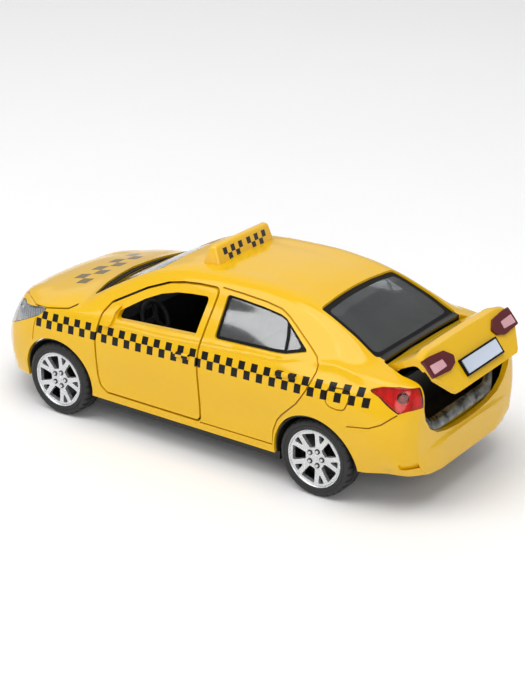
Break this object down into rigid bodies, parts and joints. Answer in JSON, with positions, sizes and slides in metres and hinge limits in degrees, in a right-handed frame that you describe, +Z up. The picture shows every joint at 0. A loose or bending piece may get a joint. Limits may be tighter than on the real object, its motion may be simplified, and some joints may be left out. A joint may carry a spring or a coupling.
{
  "type": "toy taxi",
  "caption": "Die-cast toy taxi saloon with opening front doors and boot lid, spoked wheels on turning axles, a roof sign and a geared pull-back motor.",
  "frame": {"origin": "middle of the overall box with the boot lid open, on the ground under the tyres", "axes": "+X towards the front of the car, +Y towards its left side, +Z up"},
  "size_m": [0.1212, 0.0484, 0.0438],
  "materials": {
    "taxi_yellow": "gloss enamel on die-cast zinc",
    "clear_window": "clear moulded plastic",
    "lamp_red": "clear red lens",
    "lamp_dark_red": "dark red lens",
    "lamp_clear": "clear lens with a silver back",
    "black_plastic": "moulded black",
    "white_plate": "smooth white",
    "bright_strip": "plated strip",
    "dark_tray": "moulded black",
    "cabin_plastic": "moulded dark grey",
    "seat_plastic": "moulded dark grey",
    "bright_steel": "drawn wire",
    "spring_steel": "blued strip",
    "silver_rim": "silver plated",
    "tyre": "soft black",
    "gear_plastic": "natural nylon"
  },
  "bodies": {
    "car": {"body_shell": "taxi_yellow", "window_insert": "clear_window", "left_tail_lamp": "lamp_red", "right_tail_lamp": "lamp_red", "left_headlamp": "lamp_clear", "right_headlamp": "lamp_clear", "front_grille": "black_plastic", "roof_sign": "taxi_yellow", "boot_tray": "dark_tray", "boot_sill_strip": "bright_strip", "interior_tub": "cabin_plastic", "left_seat": "seat_plastic", "right_seat": "seat_plastic", "rear_bench": "seat_plastic", "dashboard": "cabin_plastic", "steering_wheel": "cabin_plastic", "left_door_pin": "bright_steel", "right_door_pin": "bright_steel", "base_plate": "black_plastic", "base_screws": "bright_steel", "motor_left_case": "black_plastic", "motor_right_case": "black_plastic"},
    "left_door": {"left_door": "taxi_yellow"},
    "right_door": {"right_door": "taxi_yellow"},
    "boot_lid": {"boot_lid": "taxi_yellow", "boot_hinge_rod": "bright_steel", "left_lid_lamp": "lamp_dark_red", "right_lid_lamp": "lamp_dark_red", "plate_frame": "black_plastic", "number_plate": "white_plate"},
    "front_axle": {"front_axle": "bright_steel", "front_left_rim": "silver_rim", "front_right_rim": "silver_rim", "front_left_tyre": "tyre", "front_right_tyre": "tyre"},
    "rear_axle": {"rear_axle": "bright_steel", "axle_pinion": "gear_plastic", "rear_left_rim": "silver_rim", "rear_right_rim": "silver_rim", "rear_left_tyre": "tyre", "rear_right_tyre": "tyre"},
    "spring_gear": {"spring_gear": "gear_plastic", "mainspring": "spring_steel"}
  },
  "joints": [
    {"name": "left_door_hinge", "type": "hinge", "parent": "car", "child": "left_door", "pos_m": [0.02142, 0.02263, 0.01424], "axis": [0, 0, -1], "range_deg": [0, 60]},
    {"name": "right_door_hinge", "type": "hinge", "parent": "car", "child": "right_door", "pos_m": [0.02142, -0.02263, 0.01424], "axis": [0, 0, 1], "range_deg": [0, 60]},
    {"name": "boot_lid_hinge", "type": "hinge", "parent": "car", "child": "boot_lid", "pos_m": [-0.04655, 0, 0.02909], "axis": [0, 1, 0], "range_deg": [-38, 4]},
    {"name": "front_axle_spin", "type": "hinge", "parent": "car", "child": "front_axle", "pos_m": [0.03638, 0, 0.00865], "axis": [0, 1, 0], "continuous": true},
    {"name": "rear_axle_spin", "type": "hinge", "parent": "car", "child": "rear_axle", "pos_m": [-0.03365, 0, 0.00865], "axis": [0, 1, 0], "continuous": true},
    {"name": "spring_gear_spin", "type": "hinge", "parent": "car", "child": "spring_gear", "pos_m": [-0.02607, 0, 0.01235], "axis": [0, 1, 0], "continuous": true}
  ],
  "couplings": [
    {"joint": "spring_gear_spin", "follows": "rear_axle_spin", "ratio": -0.4}
  ]
}
